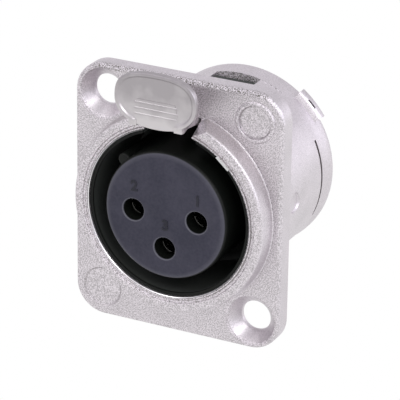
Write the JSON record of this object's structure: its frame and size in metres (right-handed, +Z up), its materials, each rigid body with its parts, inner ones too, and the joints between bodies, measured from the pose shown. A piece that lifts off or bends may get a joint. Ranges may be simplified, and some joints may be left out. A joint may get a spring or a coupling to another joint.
{
  "type": "xlr panel socket",
  "caption": "Round latching audio socket on a rectangular metal flange for panel mounting, with a thumb lever over the mouth, sprung contacts and solder cups behind.",
  "frame": {"origin": "on the socket's axis, in the plane of the flange's rear face, which seats on the panel", "axes": "-Y out of the mouth towards the user, +Y back into the panel, +Z up towards the latch lever, +X to the right seen from the front"},
  "size_m": [0.026, 0.0283, 0.0333],
  "materials": {
    "nickel_zinc": "satin nickel on a blasted zinc casting",
    "nickel_lever": "smooth satin nickel",
    "black_nylon": "dark slate moulded nylon, slightly satin",
    "contact_plating": "thin gold over brass",
    "tinned_spring": "bright tinned bronze",
    "spring_steel": "bare spring steel"
  },
  "bodies": {
    "socket": {"shell": "nickel_zinc", "front_insert": "black_nylon", "rear_insert": "black_nylon", "contact_1": "contact_plating", "contact_2": "contact_plating", "contact_3": "contact_plating", "ground_strip": "tinned_spring", "retaining_clip": "spring_steel", "lever_pin": "spring_steel", "latch_spring": "spring_steel"},
    "lever": {"latch_lever": "nickel_lever"}
  },
  "joints": [
    {"name": "lever_press", "type": "hinge", "parent": "socket", "child": "lever", "pos_m": [0, -0.0011, 0.0106], "axis": [1, 0, 0], "range_deg": [0, 11], "stiffness_Nm_per_rad": 0.08, "springref_deg": -8.59, "deforming": ["latch_spring"]}
  ]
}
